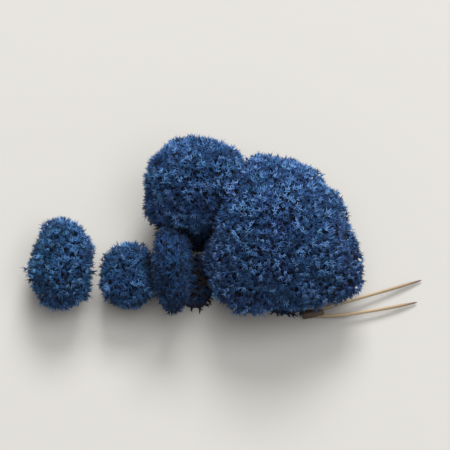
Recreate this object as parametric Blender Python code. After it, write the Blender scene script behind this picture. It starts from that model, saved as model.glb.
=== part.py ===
"""A clump of reindeer moss: five dense heads of star-tipped branchlets, each on its own forking stems,
with a pair of dry pine needles caught under the largest head.

Metres, +Z up, seen from the front along +Y. The origin is on the flat stem base of the large head,
on which the clump rests."""

import math
from typing import NamedTuple

import bmesh
import bpy
import numpy as np
from mathutils import Vector
from mathutils.geometry import interpolate_bezier

MM = 0.001
GOLDEN_ANGLE = math.pi * (3 - math.sqrt(5))

# Crowns. The star-shaped branch ends are drawn larger than life and cover every crown.
STAR_AREA = 8.8 * MM * MM  # surface that one star covers
STAR_EDGE_ANGLE = math.radians(126)  # from straight up to the rim, below which a crown is plain
CORE_DEPTH = 2.5 * MM  # from a crown's outline down to the valleys between stars
HUB_DEPTH = 1.3 * MM  # down to the ring that a star's three points grow from
CUP_DEPTH = 0.9 * MM  # down to the small hollow between the points
HUB_SPREAD = 0.8  # share of the way from a star's middle to the edges of its patch
TIP_SPREAD = 0.68  # share of the way from a star's middle to the corners of its patch
TIP_SHORTFALL = 0.04  # how much shorter than the outline the shortest points are
SCATTER = 0.18  # how far star patches stray from even spacing, as a share of it
PRESSED_GAP = 0.3 * MM  # air between two heads that press on each other
PRESSED_ROUNDING = 1.5 * MM  # softness of the edge round a pressed flat
UNDERSIDE_SHARE = 0.62  # height of a crown's underside against its dome
LUMPS = 12  # small swellings over each crown
LUMP_SWELL = 0.045

# Stems
FOOT_RINGS = ((0.0, 1.0), (1.1, 0.97), (2.6, 0.62))  # height in millimetres, share of its radius
FOOT_SIDES = 12
FOOT_WAVES = 3  # swellings round a foot's edge
FOOT_UNEVENNESS = 0.08
STAND_SHARE = 0.62  # how far out the outermost stem stands on the foot
STEM_SIDES = 5
BRANCH_SIDES = 4
STEM_RADIUS = 0.8 * MM
BRANCH_RADIUS = 0.62 * MM
BRANCH_END_RADIUS = 0.42 * MM
STEM_LEAN = math.radians(58)  # how far out from straight down the outermost stem meets its crown
BRANCH_TURN = math.radians(34)  # how far round the crown from its stem a branch ends
BRANCH_TILT = math.radians(13)  # and how much higher or lower
ROOT_DEPTH = 2.2 * MM  # how far a branch is sunk into the crown's core

# Pine needles
NEEDLE_RADIUS = 0.55 * MM
NEEDLE_SIDES = 5
NEEDLE_RINGS = 9
SHEATH_RADIUS = 0.95 * MM
SHEATH_LENGTH = 4.5 * MM
SHEATH_BEARING = math.radians(-62)  # where the sheath leans on the large head's foot

NAVY_LICHEN = (0.030, 0.062, 0.125)
DEEP_NAVY_LICHEN = (0.022, 0.047, 0.100)
DRY_NEEDLE_TAN = (0.36, 0.24, 0.12)


class Lobe(NamedTuple):
    """A swelling of a crown towards a direction, or a hollow if its swell is negative."""

    towards: tuple
    swell: float
    width: float  # degrees


class Head(NamedTuple):
    """One lichen tuft. Lengths in millimetres, from the middle of the large head's foot."""

    name: str
    crown: tuple  # middle of the crown
    radii: tuple  # half its width, half its depth, and the height of its dome
    foot: tuple  # middle of the foot, on the floor
    foot_radius: float
    stems: int
    lobes: tuple
    colour: tuple
    seed: int


HEADS = (
    Head(
        name="large_right_head",
        crown=(0.6, 2.2, 16.5),
        radii=(15.8, 16.4, 21.5),
        foot=(0.0, 0.0),
        foot_radius=10.0,
        stems=10,
        lobes=(
            Lobe((0.84, -0.54, -0.14), 0.32, 26),
            Lobe((-0.62, -0.78, -0.05), 0.18, 28),
            Lobe((-0.36, 0.90, 0.15), 0.14, 26),
            Lobe((-0.62, 0.46, 0.63), 0.2, 30),
            Lobe((-0.88, -0.20, -0.42), 0.18, 30),
        ),
        colour=NAVY_LICHEN,
        seed=11,
    ),
    Head(
        name="tall_left_head",
        crown=(-18.8, 12.6, 17.0),
        radii=(10.5, 11.0, 19.5),
        foot=(-18.4, 10.4),
        foot_radius=6.6,
        stems=7,
        lobes=(
            Lobe((0.66, 0.0, 0.75), 0.26, 34),
            Lobe((0.85, 0.50, 0.15), 0.2, 28),
            Lobe((-0.62, -0.78, 0.10), 0.14, 30),
            Lobe((-0.10, -0.85, -0.50), 0.14, 30),
        ),
        colour=NAVY_LICHEN,
        seed=23,
    ),
    Head(
        name="front_middle_head",
        crown=(-22.5, -4.0, 13.0),
        radii=(4.7, 10.2, 14.5),
        foot=(-18.4, -3.0),
        foot_radius=5.4,
        stems=5,
        lobes=(
            Lobe((-0.20, 0.75, 0.60), 0.12, 32),
            Lobe((0.85, -0.10, -0.50), 0.2, 34),
        ),
        colour=DEEP_NAVY_LICHEN,
        seed=37,
    ),
    Head(
        name="small_front_head",
        crown=(-32.0, -4.4, 9.0),
        radii=(7.6, 7.9, 9.0),
        foot=(-31.6, -4.2),
        foot_radius=4.0,
        stems=4,
        lobes=(),
        colour=NAVY_LICHEN,
        seed=41,
    ),
    Head(
        name="outer_left_head",
        crown=(-46.2, -2.4, 10.0),
        radii=(8.0, 10.2, 10.8),
        foot=(-45.8, -2.2),
        foot_radius=4.6,
        stems=5,
        lobes=(
            Lobe((-0.20, 0.88, 0.30), 0.09, 30),
            Lobe((-0.50, -0.70, -0.10), 0.06, 30),
        ),
        colour=NAVY_LICHEN,
        seed=53,
    ),
)

# How each needle leans, arrives and ends on its way out from the sheath, in millimetres
NEEDLE_ROUTES = (
    ((14.0, -8.6, 3.4), (22.0, -6.0, 2.2), (31.5, -2.6, 0.6)),
    ((13.0, -11.6, 2.4), (21.5, -10.2, 2.6), (30.5, -7.6, 0.6)),
)


def unit(vectors):
    return vectors / np.linalg.norm(vectors, axis=-1, keepdims=True)


def even_directions(count):
    """Unit vectors on a spiral from pole to pole: equal steps of height, each a golden angle on."""
    steps = np.arange(count)
    height = 1 - 2 * (steps + 0.5) / count
    ring = np.sqrt(1 - height**2)
    turn = GOLDEN_ANGLE * steps
    return np.column_stack((ring * np.cos(turn), ring * np.sin(turn), height))


def ellipsoid_reach(head, directions):
    """Radius of the head's ellipsoid along each direction, lower on its underside than on its dome."""
    width, depth, dome = np.array(head.radii) * MM
    height = np.where(directions[..., 2] < 0, dome * UNDERSIDE_SHARE, dome)
    shares = (directions[..., 0] / width) ** 2 + (directions[..., 1] / depth) ** 2
    return 1 / np.sqrt(shares + (directions[..., 2] / height) ** 2)


def swelling(directions, lobe):
    """A smooth bump on the sphere, which falls off as e to the power of minus one at the lobe's width."""
    cosine = directions @ unit(np.array(lobe.towards))
    return lobe.swell * np.exp((cosine - 1) / (1 - math.cos(math.radians(lobe.width))))


def lobes_and_lumps(head):
    """The head's own lobes and its small seeded lumps."""
    draw = np.random.default_rng(head.seed)
    lumps = list(head.lobes)
    for towards in unit(draw.normal(size=(LUMPS, 3))):
        lumps.append(Lobe(tuple(towards), draw.uniform(-1, 1) * LUMP_SWELL, draw.uniform(14, 26)))
    return lumps


def pressed_planes(head):
    """For each other head, the direction towards it and the distance at which this crown ends."""
    planes = []
    for other in HEADS:
        if other is head:
            continue
        apart = (np.array(other.crown) - np.array(head.crown)) * MM
        distance = np.linalg.norm(apart)
        towards = apart / distance
        own = ellipsoid_reach(head, towards)
        theirs = ellipsoid_reach(other, -towards)
        planes.append((towards, distance * own / (own + theirs) - PRESSED_GAP / 2))
    return planes


def smooth_minimum(first, second, rounding):
    """The smaller of two lengths, less up to a quarter of the rounding where they are alike."""
    near = np.maximum(rounding - np.abs(first - second), 0) / rounding
    return np.minimum(first, second) - near**2 * rounding / 4


def crown_reach(head, directions):
    """Distance from a crown's middle to its outline: an ellipsoid's radius times one plus its lobes
    and lumps, softly cut off by the planes where neighbours press on it."""
    swell = sum(swelling(directions, lobe) for lobe in lobes_and_lumps(head))
    reach = ellipsoid_reach(head, directions) * (1 + swell)
    for towards, distance in pressed_planes(head):
        facing = np.maximum(directions @ towards, 1e-3)
        reach = smooth_minimum(reach, distance / facing, PRESSED_ROUNDING)
    return reach


def hull_triangles(points):
    """The triangles of the convex hull round points on a sphere, as rows of point numbers."""
    bm = bmesh.new()
    numbers = {bm.verts.new(point): number for number, point in enumerate(points)}
    bmesh.ops.convex_hull(bm, input=list(numbers))
    bmesh.ops.recalc_face_normals(bm, faces=bm.faces[:])
    triangles = [[numbers[vert] for vert in face.verts] for face in bm.faces]
    bm.free()
    return np.array(triangles)


def star_patches(head):
    """Directions spread evenly over the head's ellipsoid, and the triangles between them: one patch
    for each star. Their number follows from the crown's surface and the area of a star."""
    draw = np.random.default_rng(head.seed + 1)
    radii = np.array(head.radii)
    surface = 4 * math.pi * np.prod(radii * MM) ** (2 / 3)
    count = round(surface / STAR_AREA / 2) + 2
    spacing = math.sqrt(4 * math.pi / count)
    strays = draw.normal(size=(count, 3)) * SCATTER * spacing / 2
    spread = unit(even_directions(count) + strays)
    return unit(spread * radii), hull_triangles(spread)


def crown_mesh(head):
    """The closed crown. Each patch of the dome rises to a hub ring, from which three pointed tips lean
    out to the patch's corners round a small hollow, and each patch of the underside is plain."""
    draw = np.random.default_rng(head.seed + 2)
    corners, patches = star_patches(head)
    depth = CORE_DEPTH * draw.uniform(0.85, 1.15, len(corners))
    base = corners * (crown_reach(head, corners) - depth)[:, None]
    middle = unit(corners[patches].mean(axis=1))
    edges = unit(corners[patches] + corners[np.roll(patches, -1, axis=1)])
    hub = unit(middle[:, None] + HUB_SPREAD * (edges - middle[:, None]))
    lean = TIP_SPREAD * draw.uniform(0.8, 1.15, (len(patches), 3, 1))
    tips = unit(middle[:, None] + lean * (corners[patches] - middle[:, None]))
    hollows = middle * (crown_reach(head, middle) - CUP_DEPTH)[:, None]
    hub = hub * (crown_reach(head, hub) - HUB_DEPTH)[..., None]
    length = 1 - TIP_SHORTFALL * draw.random((len(patches), 3))
    tips = tips * (crown_reach(head, tips) * length)[..., None]

    bm = bmesh.new()
    ground = [bm.verts.new(point) for point in base]
    has_star = middle[:, 2] > math.cos(STAR_EDGE_ANGLE)
    for number, patch in enumerate(patches):
        around = [ground[corner] for corner in patch]
        if not has_star[number]:
            bm.faces.new(around)
            continue
        ring = [bm.verts.new(point) for point in hub[number]]
        hollow = bm.verts.new(hollows[number])
        for side in range(3):
            before, after = ring[side - 1], ring[side]
            tip = bm.verts.new(tips[number, side])
            bm.faces.new((around[side], around[(side + 1) % 3], after))
            bm.faces.new((around[side], after, before))
            bm.faces.new((before, after, tip))
            bm.faces.new((after, hollow, tip))
            bm.faces.new((hollow, before, tip))
    return bm


def skinned(rings):
    """A closed tube through rings of points, lowest first, with a flat face at each end."""
    bm = bmesh.new()
    rows = [[bm.verts.new(point) for point in ring] for ring in rings]
    for lower, upper in zip(rows, rows[1:]):
        for side in range(len(lower)):
            before, after = side - 1, side
            bm.faces.new((lower[before], lower[after], upper[after], upper[before]))
    bm.faces.new(rows[0][::-1])
    bm.faces.new(rows[-1])
    return bm


def limb_mesh(route, radii, sides):
    """A tube round a route: at each of its points a ring of that radius, at right angles to it."""
    rings = []
    across = (route[1] - route[0]).orthogonal()
    for number, point in enumerate(route):
        along = route[min(number + 1, len(route) - 1)] - route[max(number - 1, 0)]
        along.normalize()
        across = (across - along * across.dot(along)).normalized()
        beside = along.cross(across)
        turns = [2 * math.pi * side / sides for side in range(sides)]
        offsets = [across * math.cos(turn) + beside * math.sin(turn) for turn in turns]
        rings.append([point + offset * radii[number] for offset in offsets])
    return skinned(rings)


def foot_outline(head, turn):
    """Radius of the foot at a turn round it: its own radius with a few seeded swellings."""
    wave = math.sin(FOOT_WAVES * turn + head.seed)
    return head.foot_radius * MM * (1 + FOOT_UNEVENNESS * wave)


def foot_mesh(head):
    """The matted stem base: a low uneven cone with a flat underside on the floor."""
    rings = []
    turns = [2 * math.pi * side / FOOT_SIDES for side in range(FOOT_SIDES)]
    middle = Vector((head.foot[0], head.foot[1], 0)) * MM
    for height, share in FOOT_RINGS:
        ring = []
        for turn in turns:
            radius = foot_outline(head, turn) * share
            place = Vector((radius * math.cos(turn), radius * math.sin(turn), height * MM))
            ring.append(middle + place)
        rings.append(ring)
    return skinned(rings)


def under_crown(head, azimuth, polar):
    """A point sunk into the crown's core from below, at this turn round it and angle from straight up."""
    ring = math.sin(polar)
    direction = np.array((ring * math.cos(azimuth), ring * math.sin(azimuth), math.cos(polar)))
    reach = float(crown_reach(head, direction)) - CORE_DEPTH - ROOT_DEPTH
    return Vector(np.array(head.crown) * MM + direction * reach)


def stem_meshes(head):
    """The stems: each rises from the foot, leans out the more the further it stands from the middle,
    and gives off a branch to either side. All of them end in the crown."""
    draw = np.random.default_rng(head.seed + 4)
    foot = Vector((head.foot[0], head.foot[1], 0)) * MM
    limbs = []
    for stem in range(head.stems):
        azimuth = GOLDEN_ANGLE * stem + draw.uniform(-0.2, 0.2)
        share = math.sqrt((stem + 0.5) / head.stems)
        stand = STAND_SHARE * share * head.foot_radius * MM
        root = foot + Vector((stand * math.cos(azimuth), stand * math.sin(azimuth), MM))
        polar = math.pi - STEM_LEAN * share
        goal = under_crown(head, azimuth, polar)
        rise = Vector((0, 0, goal.z - root.z))
        route = interpolate_bezier(root, root + rise * 0.5, goal - rise * 0.35, goal, 4)
        taper = np.linspace(STEM_RADIUS, BRANCH_RADIUS, len(route))
        limbs.append(limb_mesh(route, taper, STEM_SIDES))
        for side in (-1, 1):
            turn = azimuth + side * BRANCH_TURN * draw.uniform(0.7, 1.3)
            tilt = polar - side * BRANCH_TILT * draw.uniform(0.6, 1.4)
            end = under_crown(head, turn, tilt)
            start = route[1] if side < 0 else (route[1] + route[2]) / 2
            bend = start.lerp(end, 0.4) - rise * 0.08
            branch = interpolate_bezier(start, bend, end - rise * 0.2, end, 3)
            taper = np.linspace(BRANCH_RADIUS, BRANCH_END_RADIUS, len(branch))
            limbs.append(limb_mesh(branch, taper, BRANCH_SIDES))
    return limbs


def new_object(name, bm, collection, place=(0, 0, 0)):
    """An object of this mesh, linked to a collection."""
    mesh = bpy.data.meshes.new(name)
    bm.to_mesh(mesh)
    bm.free()
    obj = bpy.data.objects.new(name, mesh)
    obj.location = place
    collection.objects.link(obj)
    return obj


def fuse(body, limbs):
    """Joins the limbs to the body by one Boolean union, applies it and removes the limbs."""
    helpers = bpy.data.collections.new(body.name + "_limbs")
    bpy.context.scene.collection.children.link(helpers)
    parts = [new_object(f"{body.name}_limb_{n}", limb, helpers) for n, limb in enumerate(limbs)]
    union = body.modifiers.new("join_limbs", "BOOLEAN")
    union.operation = "UNION"
    union.operand_type = "COLLECTION"
    union.collection = helpers
    union.solver = "MANIFOLD"  # quick, and every mesh here is closed
    graph = bpy.context.evaluated_depsgraph_get()
    joined = bpy.data.meshes.new_from_object(body.evaluated_get(graph))
    body.modifiers.clear()
    body.data = joined
    for part in parts:
        bpy.data.objects.remove(part)
    bpy.data.collections.remove(helpers)


def give_material(body, name, colour, roughness):
    """A Principled surface of one colour, without metal."""
    finish = bpy.data.materials.new(name)
    finish.use_nodes = True
    shader = finish.node_tree.nodes["Principled BSDF"]
    shader.inputs["Base Color"].default_value = (*colour, 1)
    shader.inputs["Roughness"].default_value = roughness
    shader.inputs["Metallic"].default_value = 0
    body.data.materials.clear()
    body.data.materials.append(finish)


def build_head(head):
    """One tuft: its crown, its foot and its stems, joined in one body."""
    place = Vector(head.crown) * MM
    body = new_object(head.name, crown_mesh(head), bpy.context.scene.collection, place)
    fuse(body, [foot_mesh(head)] + stem_meshes(head))
    give_material(body, head.name + "_dyed_lichen", head.colour, 0.9)


def sheath_root():
    """Where the needles' sheath lies: on the floor, leaning on the large head's foot."""
    away = foot_outline(HEADS[0], SHEATH_BEARING) + PRESSED_GAP + SHEATH_RADIUS
    height = SHEATH_RADIUS + PRESSED_GAP / 2
    return Vector((away * math.cos(SHEATH_BEARING), away * math.sin(SHEATH_BEARING), height))


def build_needles():
    """Two dry needles that grow side by side from one short sheath."""
    root = sheath_root()
    routes = [[Vector(point) * MM for point in route] for route in NEEDLE_ROUTES]
    outwards = ((routes[0][0] + routes[1][0]) / 2 - root).normalized()
    ends = (root, root + outwards * SHEATH_LENGTH)
    sheath = limb_mesh(ends, (SHEATH_RADIUS, SHEATH_RADIUS * 0.85), 2 * NEEDLE_SIDES)
    body = new_object("pine_needle_pair", sheath, bpy.context.scene.collection)
    needles = []
    for side, (lean, arrive, tip) in zip((1, -1), routes):
        start = root + outwards * SHEATH_LENGTH / 2 + Vector((0, side * NEEDLE_RADIUS * 0.7, 0))
        line = interpolate_bezier(start, lean, arrive, tip, NEEDLE_RINGS)
        taper = [NEEDLE_RADIUS] * (NEEDLE_RINGS - 2) + [0.75 * NEEDLE_RADIUS, 0.35 * NEEDLE_RADIUS]
        needles.append(limb_mesh(line, taper, NEEDLE_SIDES))
    fuse(body, needles)
    give_material(body, "dry_pine_needle", DRY_NEEDLE_TAN, 0.6)


def main():
    for obj in list(bpy.data.objects):
        bpy.data.objects.remove(obj)
    for head in HEADS:
        build_head(head)
    build_needles()


main()
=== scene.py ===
# %% [markdown]
# # A clump of reindeer moss, dried and dyed dark blue
#
# Reindeer moss is a lichen. It grows as a crowd of hollow stems, each of which forks again and again
# until it ends in hundreds of tiny stars: four or five short pointed twigs round a hole. The stars of
# one tuft end at about the same height, so from a step away it is a soft dome, and from close up it
# is all points and dark gaps. The outermost tips look pale, and the inside nearly black.
#
# This file dresses five packed heads and a pair of dry pine needles. Each cell first says what the
# real thing is and how it could be made, then makes it.

# %% Load the frame
import math
from typing import NamedTuple

import bpy
import numpy as np
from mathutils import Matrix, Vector


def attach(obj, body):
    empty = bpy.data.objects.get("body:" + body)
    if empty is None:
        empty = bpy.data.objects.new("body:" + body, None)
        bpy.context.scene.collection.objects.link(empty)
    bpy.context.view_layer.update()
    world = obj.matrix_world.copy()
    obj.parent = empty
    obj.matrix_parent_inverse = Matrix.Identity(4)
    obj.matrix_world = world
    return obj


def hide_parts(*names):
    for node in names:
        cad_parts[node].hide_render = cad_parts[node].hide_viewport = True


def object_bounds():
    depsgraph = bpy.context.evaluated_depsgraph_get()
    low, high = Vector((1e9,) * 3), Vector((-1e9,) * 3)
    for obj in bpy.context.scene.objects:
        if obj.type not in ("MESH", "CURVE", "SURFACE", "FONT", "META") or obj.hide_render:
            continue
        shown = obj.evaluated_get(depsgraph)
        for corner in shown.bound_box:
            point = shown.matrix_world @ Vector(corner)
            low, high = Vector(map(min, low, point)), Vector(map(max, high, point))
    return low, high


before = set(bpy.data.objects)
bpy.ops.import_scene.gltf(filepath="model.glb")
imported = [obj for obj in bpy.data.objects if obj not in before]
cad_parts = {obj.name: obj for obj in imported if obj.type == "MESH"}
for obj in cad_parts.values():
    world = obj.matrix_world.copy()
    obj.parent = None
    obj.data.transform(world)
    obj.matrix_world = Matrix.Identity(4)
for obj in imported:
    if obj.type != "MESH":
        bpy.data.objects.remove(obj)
MM = 0.001
cad_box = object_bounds()
print("packed nodes:", sorted(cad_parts))
print("packed box, mm:", [[round(c / MM, 1) for c in corner] for corner in cad_box])


# %% [markdown]
# ## Small helpers for materials
#
# Colours are easiest to judge as the hex values that a colour picker gives, but Blender works in
# linear light, so one function turns them. Another adds a shader node, and a third a material.

# %% Colours and nodes
def linear(hex_colour):
    """sRGB hex to linear light: a channel under 0.04045 is divided by 12.92, and any other has 0.055
    added, is divided by 1.055 and raised to the power 2.4."""
    channels = [int(hex_colour[i : i + 2], 16) / 255 for i in (1, 3, 5)]
    bent = [c / 12.92 if c < 0.04045 else ((c + 0.055) / 1.055) ** 2.4 for c in channels]
    return (*bent, 1.0)


def add_node(tree, kind, sockets=None, stops=(), **settings):
    """Adds a node with its settings. A socket, by name or number, gets a link if it is given an
    output, and else a value. A colour ramp also gets its stops, (place, hex colour)."""
    node = tree.nodes.new(kind)
    for name, value in settings.items():
        setattr(node, name, value)
    for name, value in (sockets or {}).items():
        if isinstance(value, bpy.types.NodeSocket):
            tree.links.new(value, node.inputs[name])
        else:
            node.inputs[name].default_value = value
    if stops:
        elements = node.color_ramp.elements
        while len(elements) < len(stops):
            elements.new(1.0)
        for element, (place, colour) in zip(elements, stops):
            element.position = place
            element.color = linear(colour)
    return node


def new_material(name, settings):
    """A material, its tree and its Principled surface, with these settings."""
    material = bpy.data.materials.new(name)
    material.use_nodes = True
    shader = material.node_tree.nodes["Principled BSDF"]
    for socket, value in settings.items():
        shader.inputs[socket].default_value = value
    return material, material.node_tree, shader


print("#808080 in linear light:", [round(c, 3) for c in linear("#808080")])


# %% [markdown]
# ## The camera
#
# The photograph looks down on the moss from the front at about 73 degrees, through a long lens, so
# near and far heads hardly differ in scale. The angle is kept, from two metres away, and the lens is
# as long as it takes for the clump to fill the picture.

# %% Camera
CAMERA_ELEVATION = math.radians(73)
CAMERA_DISTANCE = 2.0
SENSOR_WIDTH = 36  # mm
PICTURE_MARGIN = 1.13  # width of the picture against the clump's

low, high = (Vector(corner) for corner in cad_box)
middle = (low + high) / 2
picture_width = (high.x - low.x) * PICTURE_MARGIN

camera_data = bpy.data.cameras.new("camera")
camera_data.sensor_width = SENSOR_WIDTH
camera_data.lens = SENSOR_WIDTH * CAMERA_DISTANCE / picture_width
camera = bpy.data.objects.new("camera", camera_data)
camera.location = middle + CAMERA_DISTANCE * Vector(
    (0, -math.cos(CAMERA_ELEVATION), math.sin(CAMERA_ELEVATION))
)
camera.rotation_euler = (math.pi / 2 - CAMERA_ELEVATION, 0, 0)
bpy.context.scene.collection.objects.link(camera)
bpy.context.scene.camera = camera
print("lens, mm:", round(camera_data.lens), " picture width, mm:", round(picture_width / MM, 1))


# %% [markdown]
# ## The studio
#
# In the photograph the far side of each head is bright and the near side sinks into shade, so the key
# lamp stands behind the clump. A larger and softer one hangs overhead, and a pale world fills the
# shadows a little. The floor is plain and pale.

# %% Floor, lamps and world
FLOOR_COLOUR = "#9d9b97"
FLOOR_SIZE = 6.0
FLOOR_ROUGHNESS = 0.9  # of uncoated paper
LAMPS = (
    ("key_lamp_behind", (0.10, 0.70, 1.0), 0.5, 18.5),  # its place, width and power
    ("soft_lamp_above", (0.15, -0.05, 1.2), 0.8, 15.0),
)
WORLD_STRENGTH = 0.4


def make_floor():
    """A square at the height that the clump stands on."""
    half = FLOOR_SIZE / 2
    corners = [(x * half, y * half, 0) for x, y in ((-1, -1), (1, -1), (1, 1), (-1, 1))]
    mesh = bpy.data.meshes.new("floor")
    mesh.from_pydata(corners, [], [(0, 1, 2, 3)])
    floor = bpy.data.objects.new("floor", mesh)
    bpy.context.scene.collection.objects.link(floor)
    paper = {"Base Color": linear(FLOOR_COLOUR), "Roughness": FLOOR_ROUGHNESS}
    material, _, _ = new_material("matt_studio_paper", paper)
    mesh.materials.append(material)


def add_lamp(name, place, size, power):
    """A square lamp at a place, aimed at the clump."""
    data = bpy.data.lights.new(name, "AREA")
    data.size = size
    data.energy = power
    lamp = bpy.data.objects.new(name, data)
    lamp.location = place
    lamp.rotation_euler = (middle - Vector(place)).to_track_quat("-Z", "Y").to_euler()
    bpy.context.scene.collection.objects.link(lamp)


make_floor()
for lamp in LAMPS:
    add_lamp(*lamp)

world = bpy.data.worlds.new("studio_world")
bpy.context.scene.world = world
world.use_nodes = True
world.node_tree.nodes["Background"].inputs["Color"].default_value = (1, 1, 1, 1)
world.node_tree.nodes["Background"].inputs["Strength"].default_value = WORLD_STRENGTH
bpy.context.scene.view_settings.view_transform = "Standard"


# %% [markdown]
# ## The heads
#
# Five tufts stand side by side. The outline of each is an ellipsoid with a few lobes and lumps, cut
# off softly where a neighbour presses on it. It is the solids' formula with the same numbers, so the
# fine tips end where the solids' large ones do. Only where two heads press on each other, where
# solids keep a gap, fine tips reach into each other by most of a millimetre, as real ones do.

# %% The heads' sizes and places
class Lobe(NamedTuple):
    """A swelling of a crown towards a direction, or a hollow if its swell is negative."""

    towards: tuple
    swell: float
    width: float  # degrees


class Head(NamedTuple):
    """One lichen tuft. Lengths in millimetres, from the middle of the large head's foot."""

    name: str
    crown: tuple  # middle of the crown
    radii: tuple  # half its width, half its depth, and the height of its dome
    foot: tuple  # middle of the foot, on the floor
    foot_radius: float
    stems: int
    lobes: tuple
    seed: int
    tone: float  # of the dye, from 0, greenish, to 1, violet
    paleness: float  # of its tips, against the palest; lowered as painted shade on a head in its neighbours' shade


HEADS = (
    Head(
        name="large_right_head", crown=(0.6, 2.2, 16.5), radii=(15.8, 16.4, 21.5),
        foot=(0.0, 0.0), foot_radius=10.0, stems=10,
        lobes=(
            Lobe((0.84, -0.54, -0.14), 0.32, 26),
            Lobe((-0.62, -0.78, -0.05), 0.18, 28),
            Lobe((-0.36, 0.90, 0.15), 0.14, 26),
            Lobe((-0.62, 0.46, 0.63), 0.2, 30),
            Lobe((-0.88, -0.20, -0.42), 0.18, 30),
        ),
        seed=11, tone=0.45, paleness=1.0,
    ),
    Head(
        name="tall_left_head", crown=(-18.8, 12.6, 17.0), radii=(10.5, 11.0, 19.5),
        foot=(-18.4, 10.4), foot_radius=6.6, stems=7,
        lobes=(
            Lobe((0.66, 0.0, 0.75), 0.26, 34),
            Lobe((0.85, 0.50, 0.15), 0.2, 28),
            Lobe((-0.62, -0.78, 0.10), 0.14, 30),
            Lobe((-0.10, -0.85, -0.50), 0.14, 30),
        ),
        seed=23, tone=0.4, paleness=0.98,
    ),
    Head(
        name="front_middle_head", crown=(-22.5, -4.0, 13.0), radii=(4.7, 10.2, 14.5),
        foot=(-18.4, -3.0), foot_radius=5.4, stems=5,
        lobes=(
            Lobe((-0.20, 0.75, 0.60), 0.12, 32),
            Lobe((0.85, -0.10, -0.50), 0.2, 34),
        ),
        # paleness 0.8: painted shade, as this head lies low in its neighbours' shade
        seed=37, tone=0.4, paleness=0.8,
    ),
    Head(
        name="small_front_head", crown=(-32.0, -4.4, 9.0), radii=(7.6, 7.9, 9.0),
        foot=(-31.6, -4.2), foot_radius=4.0, stems=4,
        lobes=(),
        seed=41, tone=0.25, paleness=0.96,
    ),
    Head(
        name="outer_left_head", crown=(-46.2, -2.4, 10.0), radii=(8.0, 10.2, 10.8),
        foot=(-45.8, -2.2), foot_radius=4.6, stems=5,
        lobes=(
            Lobe((-0.20, 0.88, 0.30), 0.09, 30),
            Lobe((-0.50, -0.70, -0.10), 0.06, 30),
        ),
        seed=53, tone=0.25, paleness=0.96,
    ),
)
print("heads:", [head.name for head in HEADS])

# %% The outline of a crown
TIPS_INTERLOCK = 0.9 * MM  # how far the fine tips of two pressed heads reach into each other
PRESSED_ROUNDING = 1.5 * MM
UNDERSIDE_SHARE = 0.62  # of the dome's height, which is how far a crown reaches down
LUMPS = 12
LUMP_SWELL = 0.045
LUMP_WIDTH = (14, 26)  # degrees
LEAST_FACING = 1e-3  # the cosine to a pressed plane for directions that never meet it


def unit(vectors):
    """Each vector divided by its length."""
    return vectors / np.linalg.norm(vectors, axis=-1, keepdims=True)


def on_circle(turn, radius=1.0, height=0.0):
    """Points at these turns round a level circle: radius cos(turn), radius sin(turn), height."""
    turn, radius, height = np.broadcast_arrays(turn, radius, height)
    return np.stack((radius * np.cos(turn), radius * np.sin(turn), height), axis=-1)


def ellipsoid_reach(head, directions):
    """The ellipsoid's own radius: one over the root of the sum of (component over radius) squared."""
    width, depth, dome = np.array(head.radii) * MM
    height = np.where(directions[..., 2] < 0, dome * UNDERSIDE_SHARE, dome)
    shares = (directions[..., 0] / width) ** 2 + (directions[..., 1] / depth) ** 2
    return 1 / np.sqrt(shares + (directions[..., 2] / height) ** 2)


def swelling(directions, lobe):
    """The lobe's swell times e to the power of (cosine to its middle, minus 1) over (1 minus the
    cosine of its width)."""
    cosine = directions @ unit(np.array(lobe.towards))
    return lobe.swell * np.exp((cosine - 1) / (1 - math.cos(math.radians(lobe.width))))


def lobes_and_lumps(head):
    """The head's own lobes and its small seeded lumps."""
    draw = np.random.default_rng(head.seed)
    lumps = list(head.lobes)
    for towards in unit(draw.normal(size=(LUMPS, 3))):
        swell = draw.uniform(-1, 1) * LUMP_SWELL
        lumps.append(Lobe(tuple(towards), swell, draw.uniform(*LUMP_WIDTH)))
    return lumps


def pressed_planes(head):
    """For each other head, the direction towards it and the distance at which this crown ends."""
    planes = []
    for other in (other for other in HEADS if other is not head):
        apart = (np.array(other.crown) - np.array(head.crown)) * MM
        distance = np.linalg.norm(apart)
        towards = apart / distance
        own = ellipsoid_reach(head, towards)
        theirs = ellipsoid_reach(other, -towards)
        planes.append((towards, distance * own / (own + theirs) + TIPS_INTERLOCK / 2))
    return planes


def smooth_minimum(first, second, rounding):
    """The smaller of two lengths, less up to a quarter of the rounding where they are alike."""
    near = np.maximum(rounding - np.abs(first - second), 0) / rounding
    return np.minimum(first, second) - near**2 * rounding / 4


def free_reach(head, directions):
    """The ellipsoid's radius times one plus all swellings: the crown as it would grow alone."""
    swell = sum(swelling(directions, lobe) for lobe in lobes_and_lumps(head))
    return ellipsoid_reach(head, directions) * (1 + swell)


def crown_reach(head, directions):
    """The smooth minimum of the free reach and the distance to each pressed plane, which is the
    plane's distance over the cosine to it."""
    reach = free_reach(head, directions)
    for towards, distance in pressed_planes(head):
        facing = np.maximum(directions @ towards, LEAST_FACING)
        reach = smooth_minimum(reach, distance / facing, PRESSED_ROUNDING)
    return reach


for head in HEADS:
    top = crown_reach(head, np.array((0.0, 0.0, 1.0))) / MM + head.crown[2]
    print(head.name, "top at", round(float(top), 1), "mm")


# %% [markdown]
# ## One mesh of many twigs
#
# Thousands of twigs as separate objects would choke Blender, so a head is two meshes. Every kind of
# twig is the same surface, a ring of a few points carried along a path, and numpy carries the rings
# of all twigs of a kind at once. Each point notes how far out in the tuft it is, from 0 to 1, which
# sets how much painted shade darkens it, and its twig's tone of dye, in a UV map for the colour.

# %% Sweep rings along many paths at once
COLOUR_MAP = "OFBake"  # UV map: across, how far out a point is; up, its twig's tone
WIDTH_ON_MAP = 0.004  # by which a ring's points part on that map, so that no face is a bare line


class Surface(NamedTuple):
    """Points, triangles between them, and at each point its place in the colour map."""

    points: np.ndarray
    triangles: np.ndarray
    colours: np.ndarray


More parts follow.
